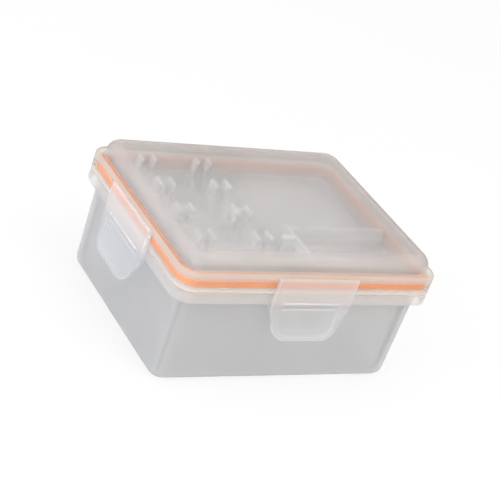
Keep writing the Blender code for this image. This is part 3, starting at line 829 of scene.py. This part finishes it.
def object_noise(tree, scale, detail):
    coordinates = tree.nodes.new("ShaderNodeTexCoord")
    noise = tree.nodes.new("ShaderNodeTexNoise")
    noise.inputs["Scale"].default_value = scale
    noise.inputs["Detail"].default_value = detail
    tree.links.new(coordinates.outputs["Object"], noise.inputs["Vector"])
    return noise.outputs["Fac"]


def object_place(tree, axis):
    """Where a point lies along this axis of the object."""
    coordinates = tree.nodes.new("ShaderNodeTexCoord")
    split = tree.nodes.new("ShaderNodeSeparateXYZ")
    tree.links.new(coordinates.outputs["Object"], split.inputs[0])
    return split.outputs[axis]


def painted_light_layer(tree):
    """The share of painted light that the mesh keeps at each point."""
    node = tree.nodes.new("ShaderNodeAttribute")
    node.attribute_name = "painted_light"
    return node.outputs["Fac"]


def edge_highlight_mask(tree, radius):
    """1 along edges, where the rounded normal turns away from the plain one, 0 on flats: where painted edge
    highlights go.
    """
    bevel = tree.nodes.new("ShaderNodeBevel")
    bevel.samples = 4
    bevel.inputs["Radius"].default_value = radius
    geometry = tree.nodes.new("ShaderNodeNewGeometry")
    dot = tree.nodes.new("ShaderNodeVectorMath")
    dot.operation = "DOT_PRODUCT"
    tree.links.new(bevel.outputs["Normal"], dot.inputs[0])
    tree.links.new(geometry.outputs["Normal"], dot.inputs[1])
    return carried(tree, computed(tree, "ABSOLUTE", dot.outputs["Value"]), 1, 1 - EDGE_TURN)


def clouded(tree, colour, scale, depth):
    """The colour, darker by up to depth in soft patches."""
    noise = object_noise(tree, scale, detail=3)
    patches = carried(tree, noise, PATCH_DARKEST, PATCH_END, 1 - depth, 1)
    return mixed(tree, 1, colour, patches, "RGBA", "MULTIPLY")


def add_grain(tree, shader, scale, strength, distance):
    """A fine bump all over."""
    node = tree.nodes.new("ShaderNodeBump")
    node.inputs["Strength"].default_value = strength
    node.inputs["Distance"].default_value = distance
    tree.links.new(object_noise(tree, scale, detail=2), node.inputs["Height"])
    tree.links.new(node.outputs["Normal"], shader.inputs["Normal"])


def frosted_plastic(name, lowest, higher, painted_finishes, highlight_edge_radius=0, ior=1.07, fade=None, density=0):
    """Frosted plastic, its finish changing with height and with the painted light it takes at each point.

    Each entry of higher is a finish with the two heights between which it takes over. Each painted finish has
    two shares of painted light: by the mesh's layer, or along edges, a painted highlight, where their radius
    is given.
    Where fade gives two places along X and a share, the finishes of higher weaken to that share from the one
    to the other. Density is of absorption inside.
    """
    material, tree, shader = new_material(name)
    finish = lowest
    for above, heights in higher:
        share = carried(tree, object_place(tree, "Z"), *heights)
        if fade:
            start, end, least = fade
            kept = carried(tree, object_place(tree, "X"), start, end, 1, least)
            share = computed(tree, "MULTIPLY", share, kept)
        finish = mixed_finish(tree, share, finish, above)
    painted_share = edge_highlight_mask(tree, highlight_edge_radius) if highlight_edge_radius else painted_light_layer(tree)
    for painted_finish, span in painted_finishes:
        finish = mixed_finish(tree, carried(tree, painted_share, *span), finish, painted_finish)
    put(tree, clouded(tree, finish.colour, scale=60, depth=0.03), shader.inputs["Base Color"])
    put(tree, finish.transmission, shader.inputs["Transmission Weight"])
    put(tree, finish.roughness, shader.inputs["Roughness"])
    shader.inputs["IOR"].default_value = ior
    add_grain(tree, shader, scale=1500, strength=0.15, distance=0.00004)
    if density:
        absorption = tree.nodes.new("ShaderNodeVolumeAbsorption")
        absorption.inputs["Color"].default_value = (0, 0, 0, 1)
        absorption.inputs["Density"].default_value = density
        tree.links.new(absorption.outputs["Volume"], tree.nodes["Material Output"].inputs["Volume"])
    return material


# Heights between which one finish takes over from another, the latch's about its hinge line
TUB_LIP_HEIGHTS = (0.0378, 0.0386)
LID_FLANGE_HEIGHTS = (0.0446, 0.0459)
LID_PLATEAU_HEIGHTS = (0.0507, 0.0513)
TRAY_TIP_HIGHLIGHT_HEIGHTS = (0.0440, 0.0510)
LATCH_PAINTED_GLOW_HEIGHTS = (-0.0116, -0.0108)

# Shares of painted light between which a painted finish takes over
FULL_SPAN = (0, 1)
PAINTED_GLOW_SPAN = (0, 0.7)
LID_EDGE_SPAN = (0.75, 1)

# Where along X the painted highlight on the tray's finger tips fades, and to what share
TIP_HIGHLIGHT_FADE = (0.001, 0.012, 0.3)

SHELL_DENSITY = 30.0


def tub_plastic():
    wall = Finish((0.85, 0.845, 0.84), transmission=0.76, roughness=0.4)
    lip = Finish((0.92, 0.88, 0.855), transmission=0.7, roughness=0.4)
    # Painted highlight: a lighter, more opaque finish along the edges
    edge = Finish((0.93, 0.925, 0.92), transmission=0.4, roughness=0.4)
    higher = [(lip, TUB_LIP_HEIGHTS)]
    painted_finishes = [(edge, FULL_SPAN)]
    return frosted_plastic("tub_frosted", wall, higher, painted_finishes, highlight_edge_radius=0.0008, density=SHELL_DENSITY)


def lid_plastic():
    # Painted light: the skirt's warmer, more opaque finish reaches up over the shade under the seal's leg
    skirt = Finish((0.94, 0.86, 0.78), transmission=0.6, roughness=0.25)
    flange = Finish((0.95, 0.93, 0.91), transmission=0.93, roughness=0.25)
    plateau = Finish((0.79, 0.772, 0.755), transmission=0.82, roughness=0.25)
    # Painted light and the seal's painted glow: warmer, more opaque finishes laid by the lid's layer of
    # painted light
    painted_glow = Finish((0.74, 0.655, 0.60), transmission=0.5, roughness=0.25)
    edge = Finish((0.66, 0.57, 0.49), transmission=0.25, roughness=0.25)
    higher = [(flange, LID_FLANGE_HEIGHTS), (plateau, LID_PLATEAU_HEIGHTS)]
    painted_finishes = [(painted_glow, PAINTED_GLOW_SPAN), (edge, LID_EDGE_SPAN)]
    return frosted_plastic("lid_frosted", skirt, higher, painted_finishes, density=SHELL_DENSITY)


def tray_plastic():
    low = Finish((0.98, 0.98, 0.98), transmission=0.78, roughness=0.25)
    # Painted highlight: the fingers' tips near the lid, white and nearly opaque, fading towards +X
    tip = Finish((1.0, 1.0, 1.0), transmission=0.28, roughness=0.3)
    # Painted highlight: a white, more opaque finish along the edges
    edge = Finish((1.0, 1.0, 1.0), transmission=0.5, roughness=0.3)
    higher = [(tip, TRAY_TIP_HIGHLIGHT_HEIGHTS)]
    painted_finishes = [(edge, FULL_SPAN)]
    return frosted_plastic("tray_frosted", low, higher, painted_finishes, highlight_edge_radius=0.0005, ior=1.05, fade=TIP_HIGHLIGHT_FADE)


def latch_plastic():
    tab = Finish((0.83, 0.825, 0.82), transmission=0.77, roughness=0.3)
    # Painted glow: the upper part, over the skirt and the seal, lighter and warmer than the tab, for their
    # light behind it
    upper = Finish((0.95, 0.915, 0.895), transmission=0.8, roughness=0.3)
    # Painted highlight: a lighter, more opaque finish along the edges
    edge = Finish((0.90, 0.895, 0.89), transmission=0.45, roughness=0.3)
    higher = [(upper, LATCH_PAINTED_GLOW_HEIGHTS)]
    painted_finishes = [(edge, FULL_SPAN)]
    return frosted_plastic("latch_frosted", tab, higher, painted_finishes, highlight_edge_radius=0.0006, ior=1.08)


def seal_silicone():
    orange = (1.0, 0.345, 0.085)
    material, tree, shader = new_material("seal_silicone")
    put(tree, clouded(tree, orange, scale=120, depth=0.06), shader.inputs["Base Color"])
    shader.inputs["Roughness"].default_value = 0.5
    add_grain(tree, shader, scale=1800, strength=0.1, distance=0.00005)
    return material


def dress(obj, material):
    obj.data.materials.clear()
    obj.data.materials.append(material)


# Stage


FLOOR_REACH = 4
FLOOR_HEIGHT = -0.0001
FLOOR_COLOUR = (0.86, 0.86, 0.86)
FLOOR_WHITE_SHARE = 0.8
WORLD_STRENGTH = 0.9
LAMP_AIM = Vector((0, 0, 0.03))
LIGHT_BOUNCES = 16


def build_camera():
    back = Vector((sin(CAMERA_YAW) * cos(CAMERA_RISE), -cos(CAMERA_YAW) * cos(CAMERA_RISE), sin(CAMERA_RISE)))
    level = Vector((cos(CAMERA_YAW), sin(CAMERA_YAW), 0))
    upright = back.cross(level)
    right = cos(CAMERA_ROLL) * level + sin(CAMERA_ROLL) * upright
    up = cos(CAMERA_ROLL) * upright - sin(CAMERA_ROLL) * level
    place = Vector((0, 0, AIM_HEIGHT)) - CAMERA_ASIDE * right - CAMERA_UP * up + CAMERA_BACK * back
    data = bpy.data.cameras.new("camera")
    data.lens = FOCAL_PIXELS / FRAME_PIXELS * data.sensor_width
    data.clip_start = 0.01
    camera = bpy.data.objects.new("camera", data)
    turn = Matrix((right, up, back)).transposed().to_4x4()
    camera.matrix_world = Matrix.Translation(place * FLANGE_LENGTH) @ turn
    bpy.context.scene.collection.objects.link(camera)
    bpy.context.scene.camera = camera


def see_as_white(tree, surface, share):
    """The surface, but what the camera sees of it, also through plastic, is this much plain white."""
    path = tree.nodes.new("ShaderNodeLightPath")
    seen = computed(tree, "MAXIMUM", path.outputs["Is Camera Ray"], path.outputs["Is Glossy Ray"])
    seen = computed(tree, "MAXIMUM", seen, path.outputs["Is Transmission Ray"])
    white = tree.nodes.new("ShaderNodeEmission")
    mix = tree.nodes.new("ShaderNodeMixShader")
    tree.links.new(computed(tree, "MULTIPLY", seen, share), mix.inputs["Fac"])
    tree.links.new(surface, mix.inputs[1])
    tree.links.new(white.outputs["Emission"], mix.inputs[2])
    return mix.outputs["Shader"]


def build_floor():
    reach = FLOOR_REACH
    corners = [(-reach, -reach, 0), (reach, -reach, 0), (reach, reach, 0), (-reach, reach, 0)]
    mesh = bpy.data.meshes.new("floor")
    mesh.from_pydata(corners, [], [(0, 1, 2, 3)])
    floor = new_object("floor", mesh)
    floor.location.z = FLOOR_HEIGHT
    material, tree, shader = new_material("floor_pale")
    put(tree, FLOOR_COLOUR, shader.inputs["Base Color"])
    shader.inputs["Roughness"].default_value = 0.8
    shader.inputs["Specular IOR Level"].default_value = 0.1
    surface = see_as_white(tree, shader.outputs["BSDF"], FLOOR_WHITE_SHARE)
    tree.links.new(surface, tree.nodes["Material Output"].inputs["Surface"])
    dress(floor, material)


def area_light(name, place, size, power, colour):
    data = bpy.data.lights.new(name, "AREA")
    data.size = size
    data.energy = power
    data.color = colour
    light = bpy.data.objects.new(name, data)
    light.location = place
    light.rotation_euler = (LAMP_AIM - Vector(place)).to_track_quat("-Z", "Y").to_euler()
    bpy.context.scene.collection.objects.link(light)


def build_lights():
    world = bpy.data.worlds.new("studio")
    world.use_nodes = True
    background = world.node_tree.nodes["Background"]
    background.inputs["Color"].default_value = (1, 1, 1, 1)
    background.inputs["Strength"].default_value = WORLD_STRENGTH
    bpy.context.scene.world = world
    area_light("key", place=(0.1, -0.45, 0.75), size=0.5, power=2.4, colour=(1, 0.985, 0.97))
    area_light("side", place=(-0.7, -0.1, 0.35), size=0.5, power=2.4, colour=(0.75, 0.83, 1))


def build():
    build_camera()
    build_floor()
    build_lights()

    pieces = {
        "lid": (build_lid(), "lid", lid_plastic(), "lid_plastic"),
        "tub": (build_tub(), "tub", tub_plastic(), "tub_plastic"),
        "seal": (build_seal(), "lid", seal_silicone(), "seal_silicone"),
        "tray": (build_tray(), "tray", tray_plastic(), "tray_plastic"),
    }
    clear = latch_plastic()
    for body, latch in build_latches().items():
        pieces[body] = (latch, body, clear, "latch_plastic")
    for node, (obj, body, material, slot) in pieces.items():
        # The lid and the latches cast no shadow, so that the lamps light the seal and the tray through them
        obj.visible_shadow = node in ("tub", "seal", "tray")
        dress(obj, material)
        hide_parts(node)
        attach(obj, body)

    scene = bpy.context.scene
    scene.view_settings.view_transform = "Standard"
    scene.cycles.use_denoising = True
    scene.cycles.max_bounces = LIGHT_BOUNCES
    scene.cycles.transmission_bounces = LIGHT_BOUNCES


build()
